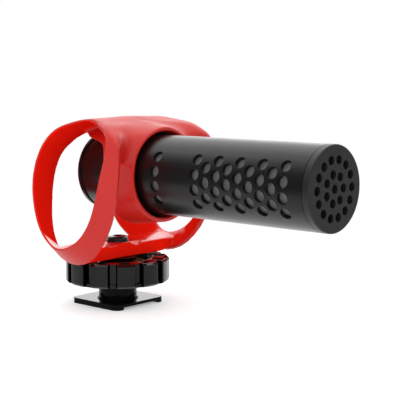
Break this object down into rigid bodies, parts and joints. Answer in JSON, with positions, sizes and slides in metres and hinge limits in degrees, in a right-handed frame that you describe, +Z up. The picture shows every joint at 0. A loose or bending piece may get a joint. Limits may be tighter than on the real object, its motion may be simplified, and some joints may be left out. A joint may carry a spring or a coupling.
{
  "type": "on-camera microphone",
  "caption": "Slim ported microphone tube held in a one-piece loop suspension, on a shoe foot with a lobed lock ring.",
  "frame": {"origin": "Centre of the underside of the shoe foot.", "axes": "+X is towards the microphone's front, +Z is up, and +Y is to the left seen from behind the microphone."},
  "size_m": [0.0878, 0.0432, 0.052],
  "materials": {
    "foot_plastic": "polished black plastic",
    "brass": "turned brass",
    "black_steel": "black-coated steel",
    "red_moulding": "red moulded plastic, finely textured outside",
    "black_rubber": "matt black rubber",
    "black_tube": "satin black coated aluminium",
    "steel_mesh": "fine woven wire",
    "capsule_metal": "plain aluminium can",
    "wire_sleeve": "insulated wire",
    "board_green": "coated circuit board",
    "component_black": "moulded component bodies",
    "carrier_plastic": "black moulded plastic"
  },
  "bodies": {
    "mount": {"shoe_foot": "foot_plastic", "stem_insert": "brass", "mount_bolt": "black_steel", "bolt_washer": "black_steel", "suspension_mount": "red_moulding", "sleeve_grip_rear": "black_rubber", "sleeve_grip_front": "black_rubber"},
    "clamp": {"clamp_washer": "foot_plastic"},
    "ring": {"lock_ring": "foot_plastic", "lock_ring_bush": "brass"},
    "microphone": {"mic_tube": "black_tube", "front_cap": "black_tube", "front_mesh": "steel_mesh", "port_mesh": "steel_mesh", "capsule": "capsule_metal", "capsule_holder": "black_rubber", "capsule_gasket": "black_rubber", "capsule_wires": "wire_sleeve", "circuit_board": "board_green", "board_components": "component_black", "board_carrier": "carrier_plastic", "jack_socket": "carrier_plastic", "jack_contacts": "brass", "rear_cap": "black_tube", "rear_seal": "black_rubber"}
  },
  "joints": [
    {"name": "clamp_travel", "type": "slide", "parent": "mount", "child": "clamp", "axis": [0, 0, 1], "range_m": [-0.0023, 0.00025]},
    {"name": "lock_ring_turn", "type": "hinge", "parent": "clamp", "child": "ring", "pos_m": [0, 0, 0.0095], "axis": [0, 0, 1], "range_deg": [-664, 73]},
    {"name": "mic_slide", "type": "slide", "parent": "mount", "child": "microphone", "axis": [1, 0, 0], "range_m": [-0.006, 0.007]}
  ],
  "couplings": [
    {"joint": "lock_ring_turn", "follows": "clamp_travel", "rad_per_m": 5026.5}
  ]
}
